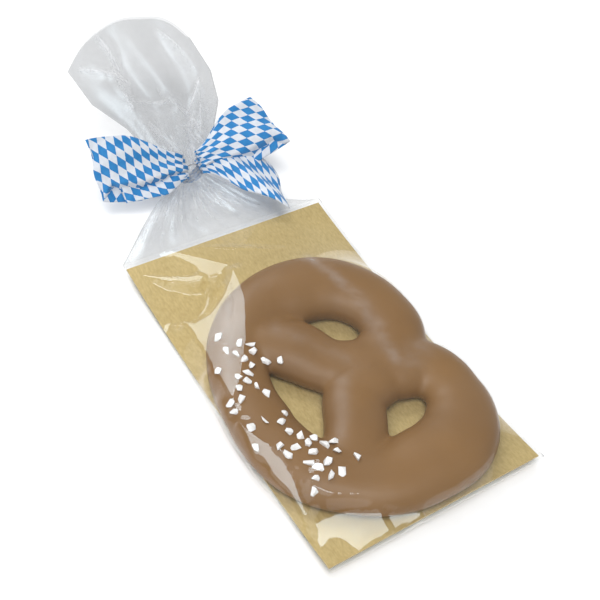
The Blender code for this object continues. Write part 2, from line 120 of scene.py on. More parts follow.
def add_studio():
    """A plain room, and lamps that face the pack."""
    scene = bpy.context.scene
    scene.view_settings.view_transform = "Standard"
    world = bpy.data.worlds.new("studio")
    scene.world = world
    world.use_nodes = True
    room = world.node_tree.nodes["Background"]
    room.inputs["Color"].default_value = ROOM_COLOUR
    room.inputs["Strength"].default_value = ROOM_STRENGTH
    for name, direction, distance, size, radiance in SOFTBOXES:
        data = bpy.data.lights.new(name, "AREA")
        data.shape = "RECTANGLE"
        data.size, data.size_y = size
        data.energy = LAMP_POWER * size[0] * size[1] * radiance
        lamp = bpy.data.objects.new(name, data)
        towards = Vector(direction).normalized()
        lamp.location = CARD_MIDDLE + towards * distance
        lamp.rotation_euler = towards.to_track_quat("Z", "Y").to_euler()
        scene.collection.objects.link(lamp)


# ---- small tools ----

ABOVE_ALL = 0.1  # height from which rays are cast down on the pack
DOWN = Vector((0, 0, -1))


def add(beside, kind, values=(), **settings):
    """A shader node in the tree of another node or socket; values that are sockets get linked."""
    tree = beside.id_data
    node = tree.nodes.new(kind)
    for key, value in settings.items():
        setattr(node, key, value)
    pairs = values.items() if isinstance(values, dict) else enumerate(values)
    for key, value in pairs:
        if isinstance(value, bpy.types.NodeSocket):
            tree.links.new(value, node.inputs[key])
        else:
            node.inputs[key].default_value = value
    return node


def new_material(name):
    """A material without a surface yet, with its output node and the place on the object."""
    made = bpy.data.materials.new(name)
    made.use_nodes = True
    nodes = made.node_tree.nodes
    nodes.clear()
    output = nodes.new("ShaderNodeOutputMaterial")
    return made, output, nodes.new("ShaderNodeTexCoord").outputs["Object"]


def put_on(output, shader):
    output.id_data.links.new(shader.outputs[0], output.inputs["Surface"])


def principled(output, values):
    put_on(output, add(output, "ShaderNodeBsdfPrincipled", values))


def math_node(operation, *values, clamp=False):
    return add(values[0], "ShaderNodeMath", values, operation=operation, use_clamp=clamp).outputs[0]


def scaled(value, by, plus, clamp=False):
    return math_node("MULTIPLY_ADD", value, by, plus, clamp=clamp)


def noise(where, scale, detail=3.0, roughness=0.5):
    values = {"Vector": where, "Scale": scale, "Detail": detail, "Roughness": roughness}
    return add(where, "ShaderNodeTexNoise", values).outputs["Fac"]


def ramp(factor, *stops):
    """A colour that runs through stops, each a place from 0 to 1 and its colour."""
    node = add(factor, "ShaderNodeValToRGB", [factor])
    for element, (place, colour) in zip(node.color_ramp.elements, stops, strict=True):
        element.position = place
        element.color = (*colour, 1.0)
    return node.outputs["Color"]


def bump(height, distance, strength):
    values = {"Height": height, "Distance": distance, "Strength": strength}
    return add(height, "ShaderNodeBump", values).outputs["Normal"]


def smoothstep(t):
    t = np.clip(t, 0.0, 1.0)
    return t * t * (3 - 2 * t)


def bow(y):
    """How far the card has curled up at distance y from its middle."""
    beyond = max(0.0, abs(y) - CARD_FLAT)
    return CARD_BOW * min(1.0, beyond / (CARD_LENGTH / 2 - CARD_FLAT)) ** 2


def even_shares(count):
    return [i / count for i in range(count + 1)]


def zigzag(places, half_span, count, uneven, shallowest, seed):
    """Height from -1 to 1 of folds, uneven in width and depth, at places across what is gathered."""
    chance = np.random.default_rng(seed)
    knots = np.linspace(-half_span, half_span, count + 1)
    knots[1:-1] += chance.uniform(-uneven, uneven, count - 1) * 2 * half_span / count
    signs = np.where(np.arange(count + 1) % 2 == 0, 1.0, -1.0)
    return np.interp(places, knots, signs * chance.uniform(shallowest, 1.0, count + 1))


def quads(rows):
    """Faces between rows of corners."""
    return [
        (near[i], near[i + 1], far[i + 1], far[i])
        for near, far in zip(rows, rows[1:]) for i in range(len(near) - 1)
    ]


def mesh_from(name, points, faces):
    mesh = bpy.data.meshes.new(name)
    mesh.from_pydata([tuple(p) for p in points], [], [tuple(int(i) for i in f) for f in faces])
    mesh.update()
    return mesh


def joined(*meshes):
    """The points and the faces of several meshes in one list each."""
    points, faces = [], []
    for mesh in meshes:
        start = len(points)
        points += [vertex.co.copy() for vertex in mesh.vertices]
        faces += [tuple(start + i for i in polygon.vertices) for polygon in mesh.polygons]
    return points, faces


def linked(mesh, name):
    """A new object of the scene."""
    made = bpy.data.objects.new(name, mesh)
    bpy.context.scene.collection.objects.link(made)
    return made


def applied(made):
    """The mesh of an object with its modifiers applied; the object itself is removed."""
    bpy.context.view_layer.update()
    depsgraph = bpy.context.evaluated_depsgraph_get()
    mesh = bpy.data.meshes.new_from_object(made.evaluated_get(depsgraph))
    mesh.transform(made.matrix_world)
    bpy.data.objects.remove(made, do_unlink=True)
    return mesh


def piece(name, mesh, material, replaced):
    """A finished piece of the pack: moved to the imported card, smooth, with its material."""
    mesh.transform(Matrix.Translation(CARD_MIDDLE))
    mesh.materials.append(material)
    mesh.shade_smooth()
    made = linked(mesh, name)
    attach(made, "root")
    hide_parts(replaced)
    return made


# ---- chocolate-coated pretzel ----

CROWN_CENTRE = 5.5 * MM  # height of the strands' middle lines over the pretzel's flat underside
STRAND_FLATNESS = 0.57  # height of a strand, as a share of its width
DOUGH_VOXEL = 1.2 * MM
DOUGH_SOFTENING = 30  # rounds of smoothing
MERGE_DISTANCE = 0.01 * MM
PRETZEL_AXIS_Y = -18.5 * MM
# Each strand's middle line and half width, in mm from the pretzel's own axis.
UPPER_STRAND = (
    (-51.5, -6, 17), (-50.5, 14, 16.3), (-43.5, 36, 16.5), (-31, 53, 17), (-13, 63, 19),
    (6, 65, 21.5), (25, 61.5, 21.5), (39.5, 50, 20.5), (46.5, 32, 19), (44, 13, 18),
    (30, 4, 18.5), (13, -5, 20), (0.4, -12, 17.5), (-12, -30.2, 17), (-26, -45, 15),
)
LOWER_STRAND = (
    (-51.5, 6, 16.5), (-52, -14, 17.5), (-46, -36, 18.5), (-32, -53, 18.5), (-13, -63, 20),
    (7, -63.7, 22), (26.5, -61, 22), (42, -49.5, 20), (49.2, -33, 17), (45, -13, 18),
    (31, -6, 20), (14, 2, 19), (-0.8, 12, 17.3), (-12.4, 30.2, 20), (-27, 44, 16),
)


def strand(name, points):
    """A closed tube along a smooth line, flattened to the height of risen dough."""
    curve = bpy.data.curves.new(name, "CURVE")
    curve.dimensions = "3D"
    curve.bevel_depth = 1.0
    curve.bevel_resolution = 8
    curve.resolution_u = 14
    curve.use_fill_caps = True
    spline = curve.splines.new("BEZIER")
    spline.bezier_points.add(len(points) - 1)
    for point, (x, y, half_width) in zip(spline.bezier_points, points):
        point.co = (x * MM, y * MM, 0.0)
        point.radius = half_width * MM
        point.handle_left_type = "AUTO"
        point.handle_right_type = "AUTO"
    made = linked(curve, name)
    made.scale.z = STRAND_FLATNESS
    made.location = (0.0, PRETZEL_AXIS_Y, CROWN_CENTRE)
    return applied(made)


def make_dough():
    """Both strands fused, softened, cut flat underneath and bent with the card."""
    bm = bmesh.new()
    for name, points in (("upper_strand", UPPER_STRAND), ("lower_strand", LOWER_STRAND)):
        bm.from_mesh(strand(name, points))
    bmesh.ops.remove_doubles(bm, verts=bm.verts, dist=MERGE_DISTANCE)
    mesh = bpy.data.meshes.new("dough")
    bm.to_mesh(mesh)
    bm.free()
    dough = linked(mesh, "dough")
    fuse = dough.modifiers.new("fuse", "REMESH")
    fuse.mode = "VOXEL"
    fuse.voxel_size = DOUGH_VOXEL
    soften = dough.modifiers.new("soften", "SMOOTH")
    soften.factor = 0.5
    soften.iterations = DOUGH_SOFTENING
    mesh = applied(dough)
    for vertex in mesh.vertices:
        vertex.co.z = max(vertex.co.z, 0.0) + PRETZEL_BASE + bow(vertex.co.y)
    return mesh


def chocolate():
    made, output, where = new_material("milk_chocolate")
    broad = math_node("MULTIPLY", noise(where, 22.0, detail=2.0), 0.9)
    tone = scaled(noise(where, 420.0), by=0.16, plus=broad)
    ripple = noise(where, 70.0, detail=2.0)
    relief = scaled(noise(where, 900.0, detail=2.0), by=0.05, plus=ripple)
    principled(output, {
        "Base Color": ramp(tone, (0.30, (0.190, 0.094, 0.026)), (0.75, (0.238, 0.123, 0.038))),
        "Roughness": scaled(noise(where, 90.0), by=0.12, plus=0.36),
        "Specular IOR Level": 0.35,
        "Normal": bump(relief, distance=0.5 * MM, strength=0.6),
    })
    return made


# ---- coarse sugar ----

# Where each grain sits on the pretzel, in mm from the card's middle.
GRAINS = (
    (-47, 32), (-48, 21), (-40, 22), (-35, 20), (-36, 15), (-45, 17), (-43, 12), (-41, 7), (-46, 3),
    (-51, 3), (-49, -1), (-55, -3), (-46, -6), (-44, -12), (-57, -9), (-62, -8), (-58, 12), (-63, -13),
    (-61, -26), (-53, -26), (-47, -31), (-32, 8), (-25, 4), (-42, -26), (-64, -37), (-55, -43),
    (-54, -49), (-47, -38), (-43, -43), (-42, -48), (-49, -48), (-37, -46), (-43, -54), (-35, -52),
    (-29, -52), (-31, -58), (-26, -67), (-48, -58), (-46, -63), (-40, -62), (-50, -67), (-43, -69),
    (-37, -70), (-53, -71),
)
GRAIN_SEED = 5
GRAIN_LENGTH = 6.4 * MM
GRAIN_STRETCH = ((0.85, 1.2), (0.60, 0.90), (0.5, 0.68))  # least and most: length, width, height
GRAIN_TIP = 0.3  # radians by which a grain may tip about its length and its width
GRAIN_SINK = 0.30  # share of a grain's height that is sunk in the coating
GRAIN_EDGE = 0.16 * MM
GRAIN_CORNERS = 12
GRAIN_SWELL = 0.92  # how near the corners come to the grain's full size


def make_sugar(surface):
    """All grains as one mesh: broken crystals with softened edges, sunk in the coating."""
    chance = random.Random(GRAIN_SEED)
    bm = bmesh.new()
    for x, y in GRAINS:
        point, normal, _, _ = surface.ray_cast(Vector((x * MM, y * MM, ABOVE_ALL)), DOWN)
        stretch = Vector([chance.uniform(least, most) for least, most in GRAIN_STRETCH])
        tips = [chance.uniform(-GRAIN_TIP, GRAIN_TIP) for _ in range(2)]
        turn = Euler((*tips, chance.uniform(0, math.tau))).to_matrix()
        lean = normal.to_track_quat("Z", "Y").to_matrix()
        lift = normal * GRAIN_LENGTH * stretch.z * (0.5 - GRAIN_SINK)
        corners = []
        for _ in range(GRAIN_CORNERS):
            corner = Vector([chance.gauss(0, 1) for _ in range(3)]).normalized() * GRAIN_SWELL
            corner = corner * stretch * GRAIN_LENGTH / 2
            corners.append(bm.verts.new(point + lift + lean @ (turn @ corner)))
        hull = bmesh.ops.convex_hull(bm, input=corners, use_existing_faces=False)
        bmesh.ops.delete(bm, geom=hull["geom_interior"], context="VERTS")
    bmesh.ops.bevel(
        bm, geom=list(bm.edges), offset=GRAIN_EDGE, segments=2, profile=0.6, affect="EDGES",
        clamp_overlap=True,
    )
    mesh = bpy.data.meshes.new("sugar")
    bm.to_mesh(mesh)
    bm.free()
    return mesh


def sugar():
    made, output, where = new_material("coarse_sugar")
    crystal = add(where, "ShaderNodeTexVoronoi", {"Vector": where, "Scale": 1400.0}).outputs["Distance"]
    tone = noise(where, 700.0)
    principled(output, {
        "Base Color": ramp(tone, (0.3, (0.86, 0.86, 0.86)), (0.7, (0.97, 0.97, 0.96))),
        "Roughness": 0.4,
        "Specular IOR Level": 0.5,
        "Normal": bump(crystal, distance=0.12 * MM, strength=0.7),
    })
    return made


# ---- gold card ----


def gold_board():
    made, output, where = new_material("gold_board")
    streaks = add(where, "ShaderNodeMapping", {"Vector": where, "Scale": (1.0, 0.35, 1.0)}).outputs[0]
    grain = noise(streaks, 900.0, detail=4.0, roughness=0.65)
    tone = scaled(noise(where, 28.0), by=0.35, plus=math_node("MULTIPLY", grain, 0.8))
    principled(output, {
        "Base Color": ramp(tone, (0.35, (0.44, 0.320, 0.118)), (0.80, (0.64, 0.50, 0.23))),
        "Metallic": 0.35,
        "Specular IOR Level": 0.4,
        "Roughness": scaled(grain, by=0.2, plus=0.36),
        "Normal": bump(grain, distance=0.08 * MM, strength=0.8),
    })
    return made


# ---- clear bag ----

ACROSS = 128  # cells across the upper film
UNDER = 64  # and across the film below
ALONG = 212  # cells along the flat part that holds the card
FUNNEL_ROWS = 56  # from the card's edge to the tie
TUFT_ROWS = 112  # from the tie to the mouth
UPPER_U = np.linspace(-1, 1, ACROSS + 1)
LOWER_U = np.linspace(-1, 1, UNDER + 1)
SHEETS = ((1, UPPER_U), (-1, LOWER_U))

# The flat part.
SIDE_SEAM = 1.6 * MM
BAG_HALF_WIDTH = CARD_WIDTH / 2 + SIDE_SEAM
OVERHANG_RISE = 1.6  # how far the bag's edge lifts where the pretzel pushes it past the card
EDGE_REACH = 9 * MM  # how far along the bag the pretzel pushes its edge out
EDGE_SMOOTHING = 9  # rows over which that edge is evened out
FILM_CLEARANCE = 0.5 * MM
PANEL_CLEARANCE = 0.3 * MM
SUGAR_REACH = 9.0  # mm round each grain within which the film rests on the grains' tips
FLOOR_SOFTNESS = 3  # rounds of blur of what the film covers, where there is no sugar
DRAPE_SPAN = 6  # cells that the film bridges from one grain's tip to the next
DRAPE_SOFTNESS = 18
DRAPE_BLEND = 6
NO_CEILING = 1.0
TIGHTENING_ROUNDS = 260
TIGHTENING_DRIVE = 1.88  # over-relaxation, from 1 for none to less than 2
MIRROR_ROUNDS = 8
FOLD_TAPER = 0.75  # below 1, a fold keeps its height until near its ends
CREASE_SHOWS = 14.0  # how strongly a bend of 1 mm between cells shows: as haze with painted highlight on a ridge, as painted shade in a valley

# The funnel, from the card's edge to the tie.
TIED = 0.93  # share of its length by which its sides are drawn in
LEFT_LATE = 0.22  # part of the left side's way that it covers just before the tie
LEFT_LATE_POWER = 6
RIGHT_POWER = 0.65  # below 1, the right side is drawn in early
RISE_POWER = 1.6
FUNNEL_HALF = 1.6 * MM  # half the bag's thickness at the card's edge
FUNNEL_HALF_POWER = 3
FUNNEL_SWELL = 1.2 * MM
FUNNEL_WAVE = 0.9 * MM
FUNNEL_WAVES = 5
NECK_FILM = 0.4 * MM  # half the film's thickness where it is pressed together at the tie
LEAST_HALF = 1.2 * MM
PLEAT_HALF_SPAN = 1.05
PLEAT_UNEVEN = 0.32
PLEAT_SHALLOWEST = 0.5
# Their number, their depth as a share of their width, and seeds for the upper and the lower film.
FINE_PLEATS = (34, 0.24, {1: 3, -1: 4})
BROAD_PLEATS = (11, 0.07, {1: 13, -1: 14})
FINE_POWER = 1.2  # how the fine pleats grow towards the tie
FINE_SWAY = 0.03
FINE_SWAY_RATE = 7
LEAST_FULLNESS = 0.25
FULLNESS_RATE = 1.05
FULLNESS_POWER = 0.8
PRESSED_FROM = 0.95  # share of the funnel's length where the tie presses the pleats flat
PRESSED_FULLNESS = 0.35
FUNNEL_FADE = (8, 4)  # how fast the pleats grow from the side seams and from the card
# painted shade: how much darker the film is made in the valleys of its folds
VALLEY_PAINTED_SHADE = 0.5
# Tint and haze, each at the card and what is added up to the tie, and the haze with painted highlight of
# a full ridge.
FUNNEL_SHADES = ((0.35, 0.2), (0.16, 0.30), 0.5)

# The tuft, from the tie to the mouth.
TUFT_LENGTH = 111 * MM
TUFT_LEFT_CORNER = (85 * MM, 1.7)  # its distance, and how late the mouth's line falls away to it
TUFT_RIGHT_CORNER = (87 * MM, 5)
TUFT_HALF = 1.25 * MM
TUFT_THIN_FROM = 0.35
TUFT_WAVE = 3.6 * MM
TUFT_WAVES = 2.5
TUFT_WAVE_SHIFT = 0.6
TUFT_WAVE_FADE = 0.8  # how much weaker the wave is at the sides
TUFT_WAVE_START = 0.06  # the part of a half wave that its height follows from tie to mouth
TUFT_WAVE_SPAN = 0.8
RAY_PLEATS = (18, 0.32, {1: 42, -1: 40})
RAY_REACH = 0.14
TUFT_FADE = (9, 9)
GATHER_END = 62  # mm from the tie where the strong crumples have ended
GATHER_SPAN = 40
TUFT_SHADES = ((1.0, -0.45), (0.04, 0.25), 0.6)  # likewise, at the mouth and added at the tie
NEAR_TIE = 0.25
FACET_SPREAD = ((-48, 48), (0, 112))
FACET_SLOPES = (0.4, 1.3)
# Crumples: shortening along the tuft, size in mm, slope, seeds for the upper and the lower film, how
# much of them shows at the mouth and how much is added at the tie.
TUFT_CRUMPLES = (
    (0.6, 17, 0.2, {1: 21, -1: 21}, 0.15, 0.3),
    (0.45, 7, 0.3, {1: 23, -1: 21}, 0.03, 0.8),
    (0.32, 3.4, 0.3, {1: 32, -1: 30}, 0, 1),
)
# Share of the tuft's length, then its left and right edge in mm.
TUFT_EDGES = (
    (0, -6.5, 6.5), (0.04, -6.5, 6.5), (0.12, -12, 14), (0.25, -20, 27),
    (0.45, -25, 39), (0.7, -38.5, 44), (1, -43.5, 41.5),
)

# Film that is drawn taut between its folds and mirrors a lamp: a point of the film in mm, the place on
# the lamp in metres, and the film's outline in mm, all from the card's middle.
KEY_PLACE = (0.19, 1.83, 1.54)
PANELS = (
    ((-47, 23, 19.3), KEY_PLACE, (
        (-16, 71), (-20, 55), (-24, 44), (-37, 21), (-53, -1), (-64, -12), (-63, -1), (-62, 12),
        (-60, 22), (-58, 39), (-58, 52), (-52, 47), (-43, 48), (-30, 57),
    )),
    ((-31, 84, 11.7), (0.35, 1.8, 1.58), ((-31, 84), (-39, 108), (-15, 75), (-30, 72))),
    ((-42, 81, 10.7), KEY_PLACE, (
        (-60, 97), (-53, 93), (-47, 88), (-41, 84), (-34, 79), (-30, 73), (-35, 72), (-40, 74),
        (-45, 78), (-51, 83), (-55, 89),
    )),
    ((-62, -47, 17.5), (-0.62, 0.05, 1.94), (
        (-68, -21), (-64, -30), (-60, -41), (-57, -51), (-57, -62), (-59, -73), (-62, -84),
        (-64, -79), (-64, -69), (-66, -56), (-67, -42), (-68, -30),
    )),
    ((-46, -94, 11), (-0.15, -0.29, 1.99), (
        (-58, -83), (-49, -84), (-42, -87), (-29, -96), (-30, -106), (-45, -105), (-51, -102),
        (-53, -96), (-61, -90),
    )),
    ((-25, -102, 11.8), (-0.18, -0.55, 1.95), (
        (-34, -94), (-28, -95), (-20, -100), (-13, -104), (-12, -108), (-19, -107), (-26, -106),
        (-34, -105), (-38, -101),
    )),
    # over the front lobe the film mirrors the plain room between the lamps
    ((-16, -86, 22.4), (1.04, 0.5, 2.33), (
        (-57, -72), (-54, -68), (-44, -68), (-30, -69), (-8, -71), (20, -78), (20, -88), (-4, -95),
        (-22, -93), (-38, -87), (-50, -80),
    )),
)
# Where the film lies low on the card, beside the pretzel's left side, in mm.
LOW_FILM = (
    (-70, 109), (-70, 46), (-61, 58), (-51, 54), (-41, 55), (-32, 63), (-29, 70), (-35, 78),
    (-40, 90), (-43, 109),
)
LOW_FILM_GAP = 0.5 * MM
LOW_FILM_SOFTNESS = 4
LOW_FILM_RISE = 5 * MM

GRAZING_POWER = 4.5  # how suddenly the film grows glossy towards grazing views
# White of the film's haze, which also paints the film's highlights.
HAZE_AND_SHEEN_WHITE = (0.93, 0.94, 0.96, 1.0)

# Narrow folds as ridge lines: start and end in mm, how far the ridge bends aside, its rise, and how
# wide the film slopes on the camera's side and on the far side.
PACK_FOLDS = (
    ((-60, -9), (-43, -9), 0, 0.35, 1, 1.6),
    ((-26, 102), (17, 72), 0, 0.5, 1.4, 4),
)
# Painted highlights, milky white bands that stand in for soft reflections on the stretched film: a line
# in mm, its half width and its strength.
PAINTED_SHEEN_LINES = (
    ((26, 58), (34, 20), 3.6, 0.38), ((34, 20), (27, -26), 4.6, 0.26),
    ((45, -26), (33, -31), 7, 0.16), ((-21, 65), (-38, 38), 2, 0.26),
    ((-38, 38), (-62, -6), 2.4, 0.22), ((-24, 106), (20, 75), 1.2, 0.16),
    ((-19, 19), (3, -15), 4.5, 0.14), ((-8, -27), (-26, -53), 4, 0.12),
)
# Painted highlights along the tuft's folds, as milky white bands, in the same columns.
TUFT_PAINTED_SHEEN_LINES = (
    ((-17, 109), (-11, 82), 2.2, 0.3), ((-11, 82), (-17, 50), 2.6, 0.32),
    ((-34, 84), (-10, 69), 2.4, 0.26), ((25, 97), (32, 66), 4, 0.18),
    ((-16, 50), (10, 40), 2, 0.2), ((6, 58), (18, 34), 1.6, 0.22), ((14, 30), (5, 6), 2, 0.35),
    ((32, 54), (16, 34), 1.8, 0.22), ((-12, 36), (0, 12), 1.8, 0.22),
)
TUFT_FOLDS = (
    ((-17, 110), (-12, 78), 1, 2.2, 6, 9),
    ((-12, 92), (-16, 48), -3, 2.2, 5.5, 8),
    ((-36, 85), (-9, 68), 0, 1.6, 5, 7),
    ((24, 100), (35, 60), 2, 1.8, 7, 9),
    ((-16, 56), (14, 42), 2, 1.2, 3, 4),
    ((4, 58), (20, 30), -2, 1.3, 3, 4),
    ((34, 58), (14, 36), 1, 1.3, 3, 4),
    ((-10, 38), (2, 8), 1, 1.3, 2.5, 3.5),
    ((16, 34), (5, 4), -1, 1.8, 2.5, 3.5),
    ((30, 50), (10, 12), 2, 1.3, 2.5, 3.5),
)


def placed(left, right, u):
    """Where shares u lie, from -1 at the left to 1 at the right."""
    return (left + right) / 2 + (right - left) / 2 * u


def neighbours(height):
    """The four heights next to each place of a grid, but for the grid's rim."""
    return height[:-2, 1:-1], height[2:, 1:-1], height[1:-1, :-2], height[1:-1, 2:]


def blurred(height, rounds):
    for _ in range(rounds):
        height = sum(neighbours(np.pad(height, 1, mode="edge"))) / 4
    return height


def widened(height, cells):
    """Each place takes the greatest height within so many cells."""
    for _ in range(cells):
        height = np.max([height, *neighbours(np.pad(height, 1, mode="edge"))], axis=0)
    return height


def drawn_tight(floor, ceiling):
    """The taut membrane between floor and ceiling, held along the grid's edges."""
    height = floor.copy()
    rows, columns = np.indices(floor.shape)
    inner_floor, inner_ceiling = floor[1:-1, 1:-1], ceiling[1:-1, 1:-1]
    for turn in range(2 * TIGHTENING_ROUNDS):
        pick = ((rows + columns) % 2 == turn % 2)[1:-1, 1:-1]
        inner = height[1:-1, 1:-1]
        moved = inner + TIGHTENING_DRIVE * (sum(neighbours(height)) / 4 - inner)
        moved = np.maximum(inner_floor, np.minimum(inner_ceiling, moved))
        height[1:-1, 1:-1] = np.where(pick, moved, inner)
    return height


def ridge(x, y, start, end, bend, rise, front, back):
    """Height of one narrow fold at points x, y, all in mm; its front is to the right of its way."""
    way = np.array(end, float) - np.array(start, float)
    length = np.hypot(*way)
    way /= length
    s = ((x - start[0]) * way[0] + (y - start[1]) * way[1]) / length
    aside = -(x - start[0]) * way[1] + (y - start[1]) * way[0]
    inside = np.clip(s, 0, 1)
    envelope = np.sin(np.pi * inside) ** FOLD_TAPER
    aside = aside - bend * 4 * inside * (1 - inside)
    width = np.where(aside > 0, back, front) * np.maximum(envelope, 1e-3)
    slope = np.clip(1 - np.abs(aside) / width, 0, 1)
    return np.where((s > 0) & (s < 1), rise * envelope * slope, 0.0)


def inside_outline(x, y, outline):
    """True where points lie inside a closed outline."""
    inside = np.zeros(x.shape, bool)
    for (x0, y0), (x1, y1) in zip(outline, outline[1:] + outline[:1]):
        if y0 != y1:
            crossing = x0 + (y - y0) * (x1 - x0) / (y1 - y0)
            inside ^= ((y0 > y) != (y1 > y)) & (x < crossing)
    return inside


def painted_sheen_bands(x, y, lines):
    """Soft bands of painted highlight along lines, at points x, y in mm."""
    total = np.zeros_like(x)
    for start, end, half_width, strength in lines:
        way = np.array(end, float) - np.array(start, float)
        share = ((x - start[0]) * way[0] + (y - start[1]) * way[1]) / (way @ way)
        share = np.clip(share, 0, 1)
        apart = np.hypot(x - start[0] - share * way[0], y - start[1] - share * way[1])
        total = np.maximum(total, strength * np.exp(-(apart / half_width) ** 2))
    return total


def shading(near, relief, tint_and_painted_shade, haze_and_painted_sheen, ridge_haze_and_sheen):
    """Tint and haze of gathered film from its relief in mm: milky on ridges, partly as painted
    highlight, and darker in valleys as painted shade.
    """
    crease = (relief - blurred(relief, 1)) * CREASE_SHOWS
    return (
        tint_and_painted_shade[0] + tint_and_painted_shade[1] * near + VALLEY_PAINTED_SHADE * (-crease).clip(0, 1),
        haze_and_painted_sheen[0] + haze_and_painted_sheen[1] * near + ridge_haze_and_sheen * crease.clip(0, 1),
    )


def mirror_film(x, y, through, lamp, outline):
    """Height in mm of film that shows the camera one place of the studio, and 0 outside its outline.

    From each of its points the way to the camera and the way to that place add up to the same
    length, so the film is a piece of an ellipsoid round the two.
    """
    foci = np.array([CAMERA_FROM_CARD, lamp]) / MM
    whole = sum(np.linalg.norm(through - focus) for focus in foci)
    z = np.full(x.shape, float(through[2]))
    for _ in range(MIRROR_ROUNDS):
        ways = [np.sqrt((x - fx) ** 2 + (y - fy) ** 2 + (z - fz) ** 2) for fx, fy, fz in foci]
        z -= (sum(ways) - whole) / sum((z - focus[2]) / way for focus, way in zip(foci, ways))
    return np.where(inside_outline(x, y, outline), z, 0.0)


def side_edges(stations, contents):
    """Left and right edge of the flat bag at its stations: the card's, or the pretzel's if wider."""
    edges = []
    for y in stations:
        near = contents[np.abs(contents[:, 1] - y) < EDGE_REACH, 0]
        left, right = -BAG_HALF_WIDTH, BAG_HALF_WIDTH
        if near.size:
            left = min(left, near.min() - SIDE_SEAM)
            right = max(right, near.max() + SIDE_SEAM)
        edges.append((left, right))
    margin = EDGE_SMOOTHING // 2
    padded = np.pad(np.array(edges), ((margin, margin), (0, 0)), mode="edge")
    weights = np.ones(EDGE_SMOOTHING) / EDGE_SMOOTHING
    return np.column_stack([np.convolve(padded[:, side], weights, "valid") for side in (0, 1)])


def covered_heights(stations, x, surface):
    """Height of what lies under each place of the film: the card, or the pretzel and its sugar."""
    covered = np.zeros_like(x)
    for row, y in enumerate(stations):
        card_top = CARD_TOP + bow(y)
        for column, place in enumerate(x[row]):
            hit = surface.ray_cast(Vector((place, y, ABOVE_ALL)), DOWN)[0]
            covered[row, column] = max(card_top, hit.z if hit else 0.0)
    return covered


def film_limits(x_mm, y_mm, covered):
    """The least and the greatest height of the film, in metres, before it is drawn tight."""
    sugared = np.zeros_like(covered)
    for grain_x, grain_y in GRAINS:
        sugared[np.hypot(x_mm - grain_x, y_mm - grain_y) < SUGAR_REACH] = 1.0
    floor = np.where(sugared > 0, covered, blurred(covered, FLOOR_SOFTNESS))
    mirrors = np.max([mirror_film(x_mm, y_mm, *panel) * MM for panel in PANELS], axis=0)
    floor = np.where(mirrors > 0, floor + PANEL_CLEARANCE, widened(floor, 1) + FILM_CLEARANCE)
    draped = blurred(sugared, DRAPE_BLEND) * (mirrors == 0)
    floor += (blurred(widened(floor, DRAPE_SPAN), DRAPE_SOFTNESS) - floor).clip(0) * draped
    floor = np.maximum(floor, mirrors)
    ceiling = np.where(mirrors > 0, mirrors, NO_CEILING)
    low = blurred(inside_outline(x_mm, y_mm, LOW_FILM).astype(float), LOW_FILM_SOFTNESS)
    resting = CARD_TOP + LOW_FILM_GAP + np.vectorize(bow)(y_mm * MM)
    return floor, np.where(low > 0.5, resting + (1 - low) * LOW_FILM_RISE, ceiling)


def flat_part(contents, surface):
    """The film over and under the card: rows of its upper and lower sheet, its tint, and its haze, which
    here is only painted highlight.
    """
    stations = [-BAG_END + 2 * BAG_END * row / ALONG for row in range(ALONG + 1)]
    edges = side_edges(stations, contents)
    x = np.array([placed(left, right, UPPER_U) for left, right in edges])
    x_mm = x / MM
    y_mm = np.array(stations)[:, None] / MM + 0 * x_mm
    floor, ceiling = film_limits(x_mm, y_mm, covered_heights(stations, x, surface))
    card_rim = np.array([CARD_TOP + bow(y) for y in stations]) + FILM_CLEARANCE
    for side in (0, -1):
        overhang = (np.abs(edges[:, side]) - BAG_HALF_WIDTH).clip(0)
        floor[:, side] = card_rim + overhang * OVERHANG_RISE
    middle, _, half = funnel_point(0.0, UPPER_U)
    floor[-1] = np.maximum(floor[-1], middle[:, 2] + half - FILM)
    height = drawn_tight(floor, np.maximum(ceiling, floor))
    height[1:-1] = (height[1:-1] + blurred(height, 1)[1:-1]) / 2
    folds = np.max([ridge(x_mm, y_mm, *fold) for fold in PACK_FOLDS], axis=0)
    height = height + folds * MM + FILM
    upper, lower = [], []
    for row, (y, (left, right)) in enumerate(zip(stations, edges)):
        upper.append(np.column_stack([x[row], np.full(ACROSS + 1, y), height[row]]))
        under_x = placed(left, right, LOWER_U)
        lower.append(np.column_stack([under_x, np.full(UNDER + 1, y), np.full(UNDER + 1, bow(y))]))
    return upper, lower, np.zeros_like(x), painted_sheen_bands(x_mm, y_mm, PAINTED_SHEEN_LINES)


def pleats(u, middle, side, count, depth, seeds):
    """Heights in mm of the pleats across one row of the film."""
    width = (middle[-1, 0] - middle[0, 0]) / MM
    folds = zigzag(u, PLEAT_HALF_SPAN, count, PLEAT_UNEVEN, PLEAT_SHALLOWEST, seeds[side])
    return folds * width / count * depth


def faded(relief, u, share, fade):
    """A relief that dies away at the side seams and at the first row of its part of the bag."""
    from_seam, from_start = fade
    return relief * np.clip((1 - np.abs(u)) * from_seam, 0, 1) * min(1.0, share * from_start)


